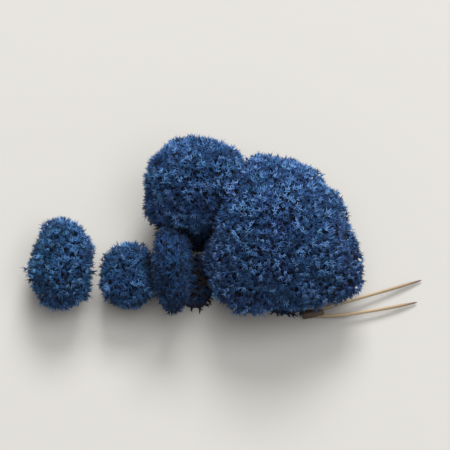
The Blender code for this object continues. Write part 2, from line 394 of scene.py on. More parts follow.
class Twig(NamedTuple):
    """A kind of twig: its radius in millimetres and its place on the way out, each at its foot and at
    its end, and the number of points round it and along it."""

    radii: tuple
    way_out: tuple
    sides: int
    steps: int


def curves(controls, steps):
    """Points on Bezier curves. Each two neighbouring controls are mixed, (1-t) of the first and t of
    the second, and what that gives is mixed in the same way until one point is left."""
    t = np.linspace(0, 1, steps)[:, None]
    points = [control[..., None, :] for control in controls]
    while len(points) > 1:
        points = [(1 - t) * first + t * second for first, second in zip(points, points[1:])]
    return points[0]


def round_section(sides):
    """The corners of a regular polygon of radius one."""
    return on_circle(2 * math.pi * np.arange(sides) / sides)[:, :2]


def square_to(axes, guides):
    """Two directions at right angles to each axis and to each other: the cross product of the axis
    with the world axis that its guide follows least, and that of the axis with the first."""
    least = np.abs(guides).argmin(axis=-1)[..., None] == np.arange(3)
    side = unit(np.cross(axes, least.astype(float)))
    return side, np.cross(axes, side)


def ring_faces(sides, ring_count):
    """Two triangles between each two neighbours on a ring and the two points above them."""
    corner = np.arange(sides)
    following = (corner + 1) % sides
    lower = sides * np.arange(ring_count - 1)[:, None]
    upper = lower + sides
    first = np.stack((lower + corner, lower + following, upper + following), axis=-1)
    second = np.stack((lower + corner, upper + following, upper + corner), axis=-1)
    return np.concatenate((first, second)).reshape(-1, 3)


def cap_faces(sides, first, tip=None):
    """Closes a ring, whose points begin with this number, by a flat fan, or by triangles to a tip."""
    if tip is None:
        fan = np.arange(1, sides - 1)
        return first + np.column_stack((fan * 0, fan, fan + 1))
    corner = np.arange(sides)
    return np.column_stack((first + corner, first + (corner + 1) % sides, corner * 0 + tip))


def tube_faces(sides, ring_count, pointed):
    """Triangles between a tube's rings, and at its ends. The tip's number follows the last ring's."""
    last = (ring_count - 1) * sides
    end = cap_faces(sides, last, last + sides if pointed else None)
    return np.concatenate((ring_faces(sides, ring_count), cap_faces(sides, 0)[:, ::-1], end))


def swept(paths, radii, section, outwards, tones, pointed):
    """A tube a path. At each of its points the section stands at right angles to it, times the
    radius there: path + radius (x side + y up). The path's start is the guide for side and up, so
    the tube doesn't twist. The last ring shrinks to a point where pointed."""
    count, steps, _ = paths.shape
    sides = len(section)
    along = unit(np.gradient(paths, axis=1))
    side, up = square_to(along, along[:, :1])
    spread = side[:, :, None] * section[:, 0, None] + up[:, :, None] * section[:, 1, None]
    rings = paths[:, :, None] + spread * np.broadcast_to(radii, (count, steps))[..., None, None]
    outwards = np.broadcast_to(outwards, (count, steps))

    ring_count = steps - pointed
    points = rings[:, :ring_count].reshape(count, -1, 3)
    shades = np.repeat(outwards[:, :ring_count], sides, axis=1)
    if pointed:
        points = np.concatenate((points, paths[:, -1:]), axis=1)
        shades = np.concatenate((shades, outwards[:, -1:]), axis=1)
    tone = np.broadcast_to(np.asarray(tones, float).reshape(-1, 1), shades.shape).copy()
    tone[:, : ring_count * sides] += np.tile(WIDTH_ON_MAP * section[:, 1], ring_count)

    first_points = points.shape[1] * np.arange(count)
    triangles = tube_faces(sides, ring_count, pointed)[None] + first_points[:, None, None]
    colours = np.stack((shades, tone), axis=-1)
    return Surface(points.reshape(-1, 3), triangles.reshape(-1, 3), colours.reshape(-1, 2))


def grown(kind, paths, tones, pointed=False):
    """Twigs of one kind, whose radius and place on the way out change evenly along them."""
    radii = np.linspace(*kind.radii, kind.steps) * MM
    way_out = np.linspace(*kind.way_out, kind.steps)
    return swept(paths, radii, round_section(kind.sides), way_out, tones, pointed)


def mesh_object(name, surfaces, material):
    """One object from all its surfaces, with smooth faces and the colour map as its UV map."""
    starts = np.cumsum([0] + [len(surface.points) for surface in surfaces[:-1]])
    points = np.concatenate([surface.points for surface in surfaces])
    points[:, 2] = np.maximum(points[:, 2], 0)  # ends that droop lie on the floor
    triangles = np.concatenate([surface.triangles + n for surface, n in zip(surfaces, starts)])
    colours = np.concatenate([surface.colours for surface in surfaces])
    mesh = bpy.data.meshes.new(name)
    mesh.vertices.add(len(points))
    mesh.vertices.foreach_set("co", points.astype(np.float32).ravel())
    mesh.loops.add(triangles.size)
    mesh.loops.foreach_set("vertex_index", triangles.astype(np.int32).ravel())
    mesh.polygons.add(len(triangles))
    mesh.polygons.foreach_set("loop_start", np.arange(0, triangles.size, 3, dtype=np.int32))
    mesh.polygons.foreach_set("use_smooth", np.ones(len(triangles), bool))
    mesh.update(calc_edges=True)
    uv_map = mesh.uv_layers.new(name=COLOUR_MAP)
    uv_map.data.foreach_set("uv", colours[triangles.ravel()].astype(np.float32).ravel())
    mesh.materials.append(material)
    obj = bpy.data.objects.new(name, mesh)
    bpy.context.scene.collection.objects.link(obj)
    return obj


print("a pointed twig of three rings of three has", len(tube_faces(3, 3, True)), "triangles")


# %% [markdown]
# ## Dyed lichen
#
# The real surface is a dry, felt-like skin of fungus threads without gloss, soaked in dark blue dye.
# It is palest on the tips and darkened inside the tuft by painted shade, so the colour is a ramp
# along the way out. Two such ramps, one greenish and one violet, are mixed by the twig's own tone.
# Dead
# stems take the dye badly and stay brown: theirs is a third ramp, for tones near one, darkened
# inwards by painted shade in the same way. Roughness is high, and a faint sheen stands for the felt.

# %% The dye
LEAST_TONE = 0.02
MOST_TONE = 0.8  # of live twigs
BROWN_FROM = 0.85  # the tone from which a twig begins to be brown
DEAD_TONE = 0.97
# painted shade: each ramp darkens from the tips inwards, along the way out
GREENISH_DYE_AND_PAINTED_SHADE = ((0.0, "#02060f"), (0.35, "#081c35"), (0.7, "#1b4870"), (1.0, "#6ba6d6"))
VIOLET_DYE_AND_PAINTED_SHADE = ((0.0, "#03050f"), (0.35, "#0c1735"), (0.7, "#274178"), (1.0, "#7e9edb"))
DEAD_BROWN_AND_PAINTED_SHADE = ((0.0, "#0a0707"), (0.4, "#261c1b"), (1.0, "#57473a"))
FELT = {"Roughness": 0.88, "Specular IOR Level": 0.12, "Sheen Weight": 0.05, "Sheen Roughness": 0.5}
MIX_FIRST, MIX_SECOND, MIX_RESULT = 6, 7, 2  # numbers of a Mix node's sockets for colours


def dyed_lichen():
    """Matt felt-like lichen: no metal, rough, with the faint pale sheen of fine threads. Its colour
    is the dye, darkened inside the tuft by painted shade.
    """
    material, tree, shader = new_material("dyed_lichen", FELT)
    place = add_node(tree, "ShaderNodeUVMap", uv_map=COLOUR_MAP)
    parts = add_node(tree, "ShaderNodeSeparateXYZ", {"Vector": place.outputs["UV"]})
    way_out, tone = parts.outputs["X"], parts.outputs["Y"]
    greenish, violet, brown = (
        add_node(tree, "ShaderNodeValToRGB", {"Fac": way_out}, stops).outputs["Color"]
        for stops in (GREENISH_DYE_AND_PAINTED_SHADE, VIOLET_DYE_AND_PAINTED_SHADE, DEAD_BROWN_AND_PAINTED_SHADE)
    )
    # the dye's colour with painted shade inside the tuft, mixed from the two ramps
    dye_ramps_with_painted_shade = {"Factor": tone, MIX_FIRST: greenish, MIX_SECOND: violet}
    dye_with_painted_shade = add_node(tree, "ShaderNodeMix", dye_ramps_with_painted_shade, data_type="RGBA").outputs[MIX_RESULT]
    limits = {"Value": tone, "From Min": BROWN_FROM, "From Max": DEAD_TONE}
    deadness = add_node(tree, "ShaderNodeMapRange", limits).outputs["Result"]
    live_and_dead = {"Factor": deadness, MIX_FIRST: dye_with_painted_shade, MIX_SECOND: brown}
    colour = add_node(tree, "ShaderNodeMix", live_and_dead, data_type="RGBA").outputs[MIX_RESULT]
    tree.links.new(colour, shader.inputs["Base Color"])
    return material


def live(tones):
    """Tones kept within those of live twigs."""
    return np.clip(tones, LEAST_TONE, MOST_TONE)


LICHEN = dyed_lichen()
print("material:", LICHEN.name)


# %% [markdown]
# ## Where the twigs of a crown end
#
# A real tuft forks from the stem outwards. Here it is grown from its outline inwards, because the
# outline is what is known. Stars are spread evenly just under it. Each finds the nearest of fewer
# twigs deeper down, and each twig the nearest of still fewer sprays. The spread is a spiral with a
# golden angle from point to point, as in a sunflower, and each point strays a little from its place.

# %% Points spread over a crown
CELL_SHARE = 0.87  # of the spacing squared: the surface that one point of an even spread covers
STRAY_SHARE = 0.33  # of the spacing that a point strays
UNEVENNESS = 0.3 * MM  # of the depths of stars, twigs and sprays
GOLDEN_ANGLE = math.pi * (3 - math.sqrt(5))


class Layer(NamedTuple):
    """Where a layer of a crown lies, and how far apart its points are."""

    depth: float  # below the outline
    most: float  # that the depth may be, as a share of the outline's radius
    spacing: float = 0.0


STARS = Layer(0.9 * MM, 0.3, 0.9 * MM)
TWIGS = Layer(2.3 * MM, 0.34, 1.5 * MM)
CORE = Layer(3.2 * MM, 0.4)
SPRAYS = Layer(4.6 * MM, 0.55, 4.4 * MM)


class Shell(NamedTuple):
    """Points spread over a crown: on a ball, as directions, and where they are."""

    on_ball: np.ndarray
    directions: np.ndarray
    points: np.ndarray


def sunk(head, directions, layer):
    """The outline's radius less the layer's depth, or less a share of it where a head is slim."""
    reach = crown_reach(head, directions)
    return reach - np.minimum(layer.depth, layer.most * reach)


def spread_over(head, layer, draw):
    """A spiral of equal height steps on a ball, each a golden angle on, strayed by a share of the
    spacing, then stretched to the head's ellipsoid. Their number is its surface over a point's. Where
    lobes swell the outline by a factor, a second spiral adds points for that factor's square."""
    radii = np.array(head.radii) * MM
    inner_radii = radii - np.minimum(layer.depth, layer.most * radii)
    surface = 4 * math.pi * np.prod(inner_radii) ** (2 / 3)
    count = int(surface / (CELL_SHARE * layer.spacing**2))
    spiral, step = np.divmod(np.arange(2 * count), count)
    height = 1 - 2 * (step + 0.5) / count
    ring = np.sqrt(1 - height**2)
    turn = GOLDEN_ANGLE * step + math.pi * spiral
    even = on_circle(turn, ring, height)
    stray = draw.normal(size=(2 * count, 3)) * STRAY_SHARE * math.sqrt(4 * math.pi / count)
    on_ball = unit(even + stray)
    directions = unit(on_ball * np.array(head.radii))
    stretch = (crown_reach(head, directions) / ellipsoid_reach(head, directions)) ** 2
    kept = (spiral == 0) | (draw.random(2 * count) < stretch - 1)
    on_ball, directions = on_ball[kept], directions[kept]
    lengths = sunk(head, directions, layer) + draw.normal(size=len(directions)) * UNEVENNESS
    points = np.array(head.crown) * MM + directions * lengths[:, None]
    return Shell(on_ball, directions, points)


def nearest(shell, deeper):
    """For each point of a shell, the number of the closest point of a deeper one."""
    return (shell.on_ball @ deeper.on_ball.T).argmax(axis=1)


probe = spread_over(HEADS[0], STARS, np.random.default_rng(0))
print("stars on the large head before its underside is thinned:", len(probe.points))


# %% [markdown]
# ## Stars
#
# The tip of a lichen twig is a whorl of short, sharp points that lean out round its axis. A spike of
# three sides is enough for each, since a star is only two millimetres wide. Lengths differ, and one
# star in eight has outgrown the rest: without that a crown looks like a clipped hedge.

# %% The points of a star
POINTS_PER_STAR = 5
POINT_LENGTH = (0.75 * MM, 1.2 * MM)
POINT_LEAN = (math.radians(18), math.radians(58))
POINT_RADIUS = 0.18 * MM
POINT_SINK = 0.08 * MM  # by which it starts behind the star's middle
POINT_FOOT_PALENESS = 0.72  # of a point's foot, against its end: painted shade, as the foot lies deeper
POINT_STRAY = 0.25  # of the turn between two points
STAR_SIZES = (0.75, 1.35)
LONG_STAR_SHARE = 0.12  # stars that have outgrown the others
LONG_STAR = 1.2  # and by how much


def star_points(hubs, axes, tones, outermost, draw):
    """The pointed twigs round each star's axis: turned evenly round it, each leant out by its own
    angle, so a point's direction is cos(lean) axis + sin(lean) (cos(turn) side + sin(turn) up)."""
    count = len(hubs)
    size = (count, POINTS_PER_STAR)
    number = np.arange(POINTS_PER_STAR) + draw.uniform(-POINT_STRAY, POINT_STRAY, size)
    turn = 2 * math.pi * number / POINTS_PER_STAR
    turn = (turn + draw.uniform(0, 2 * math.pi, (count, 1)))[..., None]
    lean = draw.uniform(*POINT_LEAN, size)[..., None]
    side, up = square_to(axes, axes)
    round_axis = np.cos(turn) * side[:, None] + np.sin(turn) * up[:, None]
    towards = np.cos(lean) * axes[:, None] + np.sin(lean) * round_axis
    star_size = draw.uniform(*STAR_SIZES, (count, 1, 1))
    star_size[draw.random(count) < LONG_STAR_SHARE] *= LONG_STAR
    length = draw.uniform(*POINT_LENGTH, size)[..., None] * star_size
    feet = hubs[:, None] - POINT_SINK * towards
    paths = np.stack((feet, hubs[:, None] + towards * length), axis=2).reshape(-1, 2, 3)
    outwards = np.stack((outermost * POINT_FOOT_PALENESS, outermost), axis=1)
    outwards = np.repeat(outwards, POINTS_PER_STAR, axis=0)
    tones = np.repeat(tones, POINTS_PER_STAR)
    return swept(paths, np.array((POINT_RADIUS, 0)), round_section(3), outwards, tones, pointed=True)


print("a star has", POINTS_PER_STAR * len(tube_faces(3, 1, True)), "triangles")


# %% [markdown]
# ## A crown of stars
#
# A curved branch joins each star to its twig and each twig to its spray. It leaves the deep point
# straight outwards, as growing tips do, and then bends. A crown is soft and pebbly because its stars
# don't all end on the outline: a spray's middle stands higher than its edge, some twigs are shorter,
# and stars that press on a neighbour end lower. The tips of what ends lower, and of the underside,
# are painted darker as painted shade.

# %% How high and how pale the stars are
SPRAY_EDGE_DROP = 1.0 * MM  # how much lower a spray's edge ends than its middle
SPRAY_EDGE_PERCENTILE = 90  # of the stars' ways from a spray's middle: its edge
MOST_EDGE_DROP = 1.3  # in drops of the edge, for the stars beyond it
TWIG_DROP = 0.7 * MM  # how much lower the shortest twig's stars end
SHORT_TWIG_PAINTED_SHADE = 0.26  # and how much darker their tips are painted, as painted shade
SHORT_TWIG_POWER = 1.5  # above 1, long twigs are more common than short ones
PRESSED_SHARE = 0.07  # of its free reach that a star has lost where it is fully pressed
PRESSED_DROP = 0.8 * MM  # how much lower such stars end
PRESSED_PAINTED_SHADE = 0.35  # and how much darker their tips are painted, as painted shade in the crease
PALE_SPREAD = 0.45  # how much less pale any star's tips may be
UNDERSIDE_FROM = math.cos(math.radians(128))  # below this the stars thin out
UNDERSIDE_FADE = 0.15  # over this further height
UNDERSIDE_STARS = 0.35  # that are left there
# painted shade: how much darker the tips on the underside are painted
UNDERSIDE_PAINTED_SHADE = 0.3


def grow_stars(head, sprays, twigs, draw):
    """A crown's stars, the number of each one's spray, and how pale its tips are. A star drops by
    the edge's drop times (way from its spray's middle over the edge's) squared, by its twig's
    shortness, and by the share of its free reach that it has lost."""
    stars = spread_over(head, STARS, draw)
    spray = nearest(stars, sprays)
    off_centre = np.linalg.norm(stars.on_ball - sprays.on_ball[spray], axis=1)
    off_centre /= np.percentile(off_centre, SPRAY_EDGE_PERCENTILE)
    short = draw.random(len(twigs.points))[nearest(stars, twigs)] ** SHORT_TWIG_POWER
    loss = 1 - crown_reach(head, stars.directions) / free_reach(head, stars.directions)
    pressed = np.clip(loss / PRESSED_SHARE, 0, 1)
    drop = SPRAY_EDGE_DROP * np.minimum(off_centre**2, MOST_EDGE_DROP)
    drop += TWIG_DROP * short + PRESSED_DROP * pressed

    underside = np.clip((UNDERSIDE_FROM - stars.directions[:, 2]) / UNDERSIDE_FADE, 0, 1)
    kept = draw.random(len(drop)) < 1 - underside * (1 - UNDERSIDE_STARS)
    paleness = head.paleness - PALE_SPREAD * draw.random(kept.sum()) ** 2
    # painted shade: tips on the underside, on short twigs and where heads press are painted darker
    painted_shade = UNDERSIDE_PAINTED_SHADE * underside + SHORT_TWIG_PAINTED_SHADE * short + PRESSED_PAINTED_SHADE * pressed
    paleness -= painted_shade[kept]
    points = stars.points - stars.directions * drop[:, None]
    return Shell(stars.on_ball[kept], stars.directions[kept], points[kept]), spray[kept], paleness


print("a pressed star ends lower by, mm:", round(PRESSED_DROP / MM, 1))

# %% The twigs of a crown
STAR_BRANCH = Twig((0.2, 0.15), (0.4, 0.74), sides=3, steps=3)
TWIG_BRANCH = Twig((0.36, 0.22), (0.1, 0.42), sides=3, steps=4)
INNER_PALENESS = 0.6  # of the stars on the twigs' own ends, under the outer ones: painted shade
BRANCH_STRAIGHTNESS = 0.55  # of a branch's length: how far out its curve aims before it bends
TONE_SPREAD = 0.12  # from spray to spray, and from star to star
FANNING = 1.2  # how much a star leans away from its spray's middle
AXIS_STRAY = 0.18
CROWN_DRAWS = 100  # added to a head's seed, so that each kind of piece has draws of its own


def branches(kind, shell, numbers, deeper, tones):
    """Curved branches from each deeper point to the points that found it. The curve's bend lies from
    the deeper point along its own direction, by a share of the branch's length."""
    start = deeper.points[numbers]
    length = np.linalg.norm(shell.points - start, axis=1)[:, None]
    bend = start + deeper.directions[numbers] * length * BRANCH_STRAIGHTNESS
    return grown(kind, curves((start, bend, shell.points), kind.steps), tones)


def crown_surfaces(head):
    """All the twigs of a crown: the stars and what carries them, and those inside."""
    draw = np.random.default_rng(head.seed + CROWN_DRAWS)
    sprays = spread_over(head, SPRAYS, draw)
    twigs = spread_over(head, TWIGS, draw)
    stars, spray, paleness = grow_stars(head, sprays, twigs, draw)

    spray_tone = head.tone + draw.normal(size=len(sprays.points)) * TONE_SPREAD
    star_tone = live(spray_tone[spray] + draw.normal(size=len(stars.points)) * TONE_SPREAD)
    twig_spray = nearest(twigs, sprays)
    twig_tone = live(spray_tone[twig_spray])
    tilt = stars.directions - sprays.directions[spray]
    stray = draw.normal(size=stars.points.shape) * AXIS_STRAY
    axes = unit(stars.directions + FANNING * tilt + stray)
    outer = [
        star_points(stars.points, axes, star_tone, paleness, draw),
        branches(STAR_BRANCH, stars, nearest(stars, twigs), twigs, star_tone),
    ]
    # painted shade: the inner stars are painted darker than the outer ones
    inner_shaded_paleness = np.full(len(twigs.points), INNER_PALENESS)
    inner = [
        star_points(twigs.points, twigs.directions, twig_tone, inner_shaded_paleness, draw),
        branches(TWIG_BRANCH, twigs, twig_spray, sprays, twig_tone),
    ]
    return outer, inner


smallest = min(HEADS, key=lambda head: head.foot_radius)
print("triangles on", smallest.name, [len(s.triangles) for s in crown_surfaces(smallest)[0]])


# %% [markdown]
# ## The dark inside
#
# Between the stars one looks into a thicket that gets darker and darker. Inner stars and branches
# make what can be seen of it, and a dark rippled ball behind them stops the light as the rest would.
# Its near-black colour is painted shade for the thicket behind.

# %% The dark core
CORE_SHADE = 0.12  # its place on the way out, near the dark end of the ramp: painted shade
CORE_RIPPLE = 0.35 * MM
CORE_RIPPLES = 23  # radians of ripple for each unit of direction
CORE_GRIDS = {"large_right_head": (72, 40), "tall_left_head": (60, 34)}
OTHER_CORE_GRID = (48, 28)


def closed_ball(head, turns, rows):
    """A ball on a grid of two angles, turn and polar: crown's middle + direction (outline - depth +
    ripples), where the ripples are products of sines. A single point closes each pole."""
    polar = math.pi * (np.arange(1, rows) / rows)[:, None]
    turn = 2 * math.pi * (np.arange(turns) / turns)[None, :]
    grid = on_circle(turn, np.sin(polar), np.cos(polar)).reshape(-1, 3)
    directions = np.concatenate((grid, ((0, 0, 1), (0, 0, -1))))
    ripples = CORE_RIPPLE * np.prod(np.sin(directions * CORE_RIPPLES + head.seed), axis=1)
    lengths = sunk(head, directions, CORE) + ripples
    points = np.array(head.crown) * MM + directions * lengths[:, None]

    top, bottom = len(grid), len(grid) + 1
    lowest = (rows - 2) * turns
    downwards = np.concatenate((ring_faces(turns, rows - 1), cap_faces(turns, lowest, bottom)))
    triangles = np.concatenate((downwards[:, ::-1], cap_faces(turns, 0, top)))
    # painted shade: the core sits near the dark end of the ramp
    return Surface(points, triangles, np.tile((CORE_SHADE, head.tone), (len(points), 1)))


core = closed_ball(HEADS[0], *CORE_GRIDS["large_right_head"])
print("core of the large head:", len(core.triangles), "triangles")


# %% [markdown]
# ## Stems
#
# Below the crown a tuft stands on its oldest branches, a millimetre or two thick, dull and knobbly,
# with short side twigs that end in stars. They follow the solids' routes: each stem rises from the
# foot and gives off a branch to either side.

# %% Side twigs
SIDE_TWIGS_PER_STEP = 2
SIDE_TWIG_LENGTH = (0.8 * MM, 1.9 * MM)
SIDE_TWIG_LEAN = (0.8, 0.6)  # shares of its direction that point sideways and along the stem
SIDE_TWIG_STRAY = 0.15
SIDE_TWIG_BEND = 0.5  # of its length: how far sideways its curve aims before it bends
SIDE_STAR_LIFT = 0.12  # how much paler its star is than its end
SIDE_TWIG_HEIGHT = 0.6 * MM  # that its end keeps above the floor


def side_twigs(kind, paths, steps, tones, draw):
    """Short forking twigs on stems, the same number at each of these steps of every path. One leaves
    sideways, bends a little along the stem and ends in a small star."""
    starts = np.repeat(paths[:, steps].reshape(-1, 3), SIDE_TWIGS_PER_STEP, axis=0)
    along = unit(np.gradient(paths, axis=1))[:, steps].reshape(-1, 3)
    along = np.repeat(along, SIDE_TWIGS_PER_STEP, axis=0)
    count = len(starts)
    side, up = square_to(along, along)
    turn = draw.uniform(0, 2 * math.pi, (count, 1))
    outwards = np.cos(turn) * side + np.sin(turn) * up
    length = draw.uniform(*SIDE_TWIG_LENGTH, (count, 1))
    stray = draw.normal(size=(count, 3)) * SIDE_TWIG_STRAY
    towards = unit(SIDE_TWIG_LEAN[0] * outwards + SIDE_TWIG_LEAN[1] * along + stray)
    ends = starts + towards * length
    ends[:, 2] = np.maximum(ends[:, 2], SIDE_TWIG_HEIGHT)
    bend = starts + outwards * length * SIDE_TWIG_BEND
    routes = curves((starts, bend, ends), kind.steps)
    tones = np.repeat(tones, len(steps) * SIDE_TWIGS_PER_STEP)
    paleness = np.full(count, kind.way_out[1] + SIDE_STAR_LIFT)
    return [grown(kind, routes, tones), star_points(ends, towards, tones, paleness, draw)]


print("side twigs, mm long:", [round(length / MM, 1) for length in SIDE_TWIG_LENGTH])

# %% Thick stems
STAND_SHARE = 0.62  # of the foot's radius within which the stems stand
STEM = Twig((0.8, 0.62), (0.5, 0.2), sides=8, steps=10)  # darker upwards, away from the light
STEM_BRANCH = STEM._replace(radii=(0.62, 0.42))
STEM_SIDE_TWIG = Twig((0.2, 0.13), (0.3, 0.5), sides=3, steps=3)
STEM_LEAN = math.radians(58)
STEM_TURN_STRAY = 0.2
STEM_UPRIGHT = (0.5, 0.35)  # of its rise, for which it stays upright at its foot and at its end
BRANCH_TURN = math.radians(34)
BRANCH_TURNS = (0.7, 1.3)  # least and most of that turn
BRANCH_TILT = math.radians(13)
BRANCH_TILTS = (0.6, 1.4)  # least and most of that tilt
BRANCH_BEND = (0.4, 0.08)  # of the way to its end, and of the stem's rise that it sags there
BRANCH_ARRIVAL = 0.2  # of the stem's rise, for which it is upright at its end
SOLID_CORE_DEPTH = 2.5 * MM
ROOT_DEPTH = 2.2 * MM  # how far a stem's end is sunk into the solids' core
KNOB_SHARE = 0.12  # of the radius
LOWER_FORK = 3  # the step of a stem at which its lower branch leaves it
UPPER_FORK = 6  # the upper one leaves halfway from there to this step
STEM_TWIG_STEPS = (2, 3, 4, 5, 6, 7)
TONE_STRAY = 0.15  # from stem to stem
STEM_DRAWS = 4
KNOB_DRAWS = 200


def foot_middle(head):
    """The middle of a head's foot, on the floor."""
    return np.array((*head.foot, 0)) * MM


def under_crown(head, azimuth, polar):
    """A point sunk into the crown from below, at this turn round it and angle from straight up."""
    direction = on_circle(azimuth, math.sin(polar), math.cos(polar))
    reach = float(crown_reach(head, direction)) - SOLID_CORE_DEPTH - ROOT_DEPTH
    return np.array(head.crown) * MM + direction * reach


def stem_surfaces(head):
    """Each stem rises from the foot, leans out the more the further it stands from the middle, and
    gives off a branch to either side. Its radius swells and shrinks along it in a few knobs."""
    draw = np.random.default_rng(head.seed + STEM_DRAWS)
    knobs = np.random.default_rng(head.seed + KNOB_DRAWS)
    paths, radii = [], []
    for stem in range(head.stems):
        azimuth = GOLDEN_ANGLE * stem + draw.uniform(-STEM_TURN_STRAY, STEM_TURN_STRAY)
        share = math.sqrt((stem + 0.5) / head.stems)
        stand = STAND_SHARE * share * head.foot_radius * MM
        root = foot_middle(head) + on_circle(azimuth, stand, MM)
        polar = math.pi - STEM_LEAN * share
        goal = under_crown(head, azimuth, polar)
        rise = np.array((0, 0, goal[2] - root[2]))
        lean, arrive = root + rise * STEM_UPRIGHT[0], goal - rise * STEM_UPRIGHT[1]
        route = curves((root, lean, arrive, goal), STEM.steps)
        paths.append(route)
        radii.append(STEM.radii)
        for side in (-1, 1):
            turn = azimuth + side * BRANCH_TURN * draw.uniform(*BRANCH_TURNS)
            tilt = polar - side * BRANCH_TILT * draw.uniform(*BRANCH_TILTS)
            end = under_crown(head, turn, tilt)
            start = route[LOWER_FORK] if side < 0 else (route[LOWER_FORK] + route[UPPER_FORK]) / 2
            bend = start + (end - start) * BRANCH_BEND[0] - rise * BRANCH_BEND[1]
            paths.append(curves((start, bend, end - rise * BRANCH_ARRIVAL, end), STEM.steps))
            radii.append(STEM_BRANCH.radii)
    paths = np.array(paths)
    radii = np.linspace(*np.array(radii).T, STEM.steps).T * MM
    radii *= 1 + KNOB_SHARE * knobs.normal(size=radii.shape)
    way_out = np.linspace(*STEM.way_out, STEM.steps)
    stems = swept(paths, radii, round_section(STEM.sides), way_out, head.tone, pointed=False)
    tones = live(head.tone + knobs.normal(size=len(paths)) * TONE_STRAY)
    return [stems, *side_twigs(STEM_SIDE_TWIG, paths, STEM_TWIG_STEPS, tones, knobs)]


print("stems:", {head.name: head.stems for head in HEADS})


# %% [markdown]
# ## Fine stems between them
#
# A real tuft has ten times as many stems as the solids, most of them under a millimetre thick. They
# fill the space under the crown and the dark crease between heads. A few are dead and brown.

# %% Fine stems
PODETIA_PER_AREA = 0.35  # for each square millimetre of the foot
PODETIUM = Twig((0.42, 0.26), (0.25, 0.42), sides=5, steps=9)
PODETIUM_SIDE_TWIG = Twig((0.2, 0.13), (0.28, 0.48), sides=3, steps=3)
PODETIUM_TWIG_STEPS = (1, 2, 3, 4, 5, 6)
PODETIA_STAND = 0.88  # of the foot's radius within which they stand
PODETIA_TURN_STRAY = 0.35
PODETIA_LEAN = 1.25 * STEM_LEAN  # of the outermost ones
PODETIA_LEANS = (0.85, 1.15)  # least and most of that lean
PODETIA_BEND = (0.35, 0.75)  # of its rise, at which one bends, at least and at most
PODETIA_BEND_STRAY = 0.5 * MM
PODETIA_ENDS = Layer(2 * MM, 0.34)
DEAD_SHARE = 0.15
PODETIA_DRAWS = 400


def podetia_surfaces(head):
    """Fine stems in a sunflower's spiral on the foot: the radius grows as the root of a stem's number
    and the turn by a golden angle. Each leans out in step with its distance from the middle."""
    draw = np.random.default_rng(head.seed + PODETIA_DRAWS)
    count = round(PODETIA_PER_AREA * math.pi * head.foot_radius**2)
    number = np.arange(count)
    share = np.sqrt((number + 0.5) / count)
    turn = GOLDEN_ANGLE * number
    stand = PODETIA_STAND * share * head.foot_radius * MM
    root = foot_middle(head) + on_circle(turn, stand, MM)
    turn = turn + draw.uniform(-PODETIA_TURN_STRAY, PODETIA_TURN_STRAY, count)
    polar = math.pi - PODETIA_LEAN * share * draw.uniform(*PODETIA_LEANS, count)
    towards = on_circle(turn, np.sin(polar), np.cos(polar))
    goal = np.array(head.crown) * MM + towards * sunk(head, towards, PODETIA_ENDS)[:, None]
    rise = np.column_stack((np.zeros((count, 2)), goal[:, 2] - root[:, 2]))
    bend = root + rise * draw.uniform(*PODETIA_BEND, (count, 1))
    bend += draw.normal(size=(count, 3)) * PODETIA_BEND_STRAY
    paths = curves((root, bend, goal), PODETIUM.steps)
    tones = live(head.tone + draw.normal(size=count) * TONE_STRAY)
    tones[draw.random(count) < DEAD_SHARE] = DEAD_TONE
    twigs = side_twigs(PODETIUM_SIDE_TWIG, paths, PODETIUM_TWIG_STEPS, tones, draw)
    return [grown(PODETIUM, paths, tones), *twigs]


print("fine stems under the large head:", round(PODETIA_PER_AREA * math.pi * HEADS[0].foot_radius**2))


# %% [markdown]
# ## Feet
#
# A tuft is pulled from the ground with the mat of old broken stems that it grew from, and rests on
# it. Here it is a low uneven cone, flat below, thick with short sprigs, half of them dead and brown.

# %% Feet
FOOT_RINGS = ((0.0, 1.0), (1.1, 0.97), (2.6, 0.62))  # heights in millimetres, shares of the radius
FOOT_CORNERS = 36
FOOT_WAVES = 3
FOOT_UNEVENNESS = 0.08
FOOT_SHADE = 0.3
FOOT_SPRIGS_PER_AREA = 3.0  # for each square millimetre of its sloping side
FOOT_SIDE_SHARE = 0.6  # of its area that is that side
FOOT_TOP = 2.3 * MM  # above it, sprigs are spread inwards over the top
SPRIG = Twig((0.26, 0.12), (0.25, 0.5), sides=4, steps=4)
SPRIG_LENGTH = (0.8, 2.3)  # mm
SPRIG_SINK = 0.98  # of the mat's radius, at which it starts
SPRIG_INWARDS = 0.4  # of that radius, that one on the top may start further in
SPRIG_HIGH_POWER = 0.7  # under 1, more of them start high than low
SPRIG_HEADING = 1.1  # radians, to either side of outwards
SPRIG_RISE = (-0.5, 0.8)  # against the way that it goes sideways
SPRIG_BEND = 0.12  # of its length
SPRIG_HEIGHT = 0.3 * MM  # that its end and its bend keep above the floor
DEAD_SPRIGS = 0.5
FOOT_DRAWS = 300


def foot_outline(head, turn):
    """The foot's radius times one plus a few waves round it."""
    return head.foot_radius * MM * (1 + FOOT_UNEVENNESS * np.sin(FOOT_WAVES * turn + head.seed))


def mat_surface(head):
    """The mat: rings of the foot's outline, each times its own share, at their heights."""
    turns = 2 * math.pi * np.arange(FOOT_CORNERS) / FOOT_CORNERS
    outline = foot_outline(head, turns)
    rings = [on_circle(turns, outline * share, height * MM) for height, share in FOOT_RINGS]
    points = foot_middle(head) + np.concatenate(rings)
    faces = tube_faces(FOOT_CORNERS, len(FOOT_RINGS), pointed=False)
    return Surface(points, faces, np.tile((FOOT_SHADE, head.tone), (len(points), 1)))


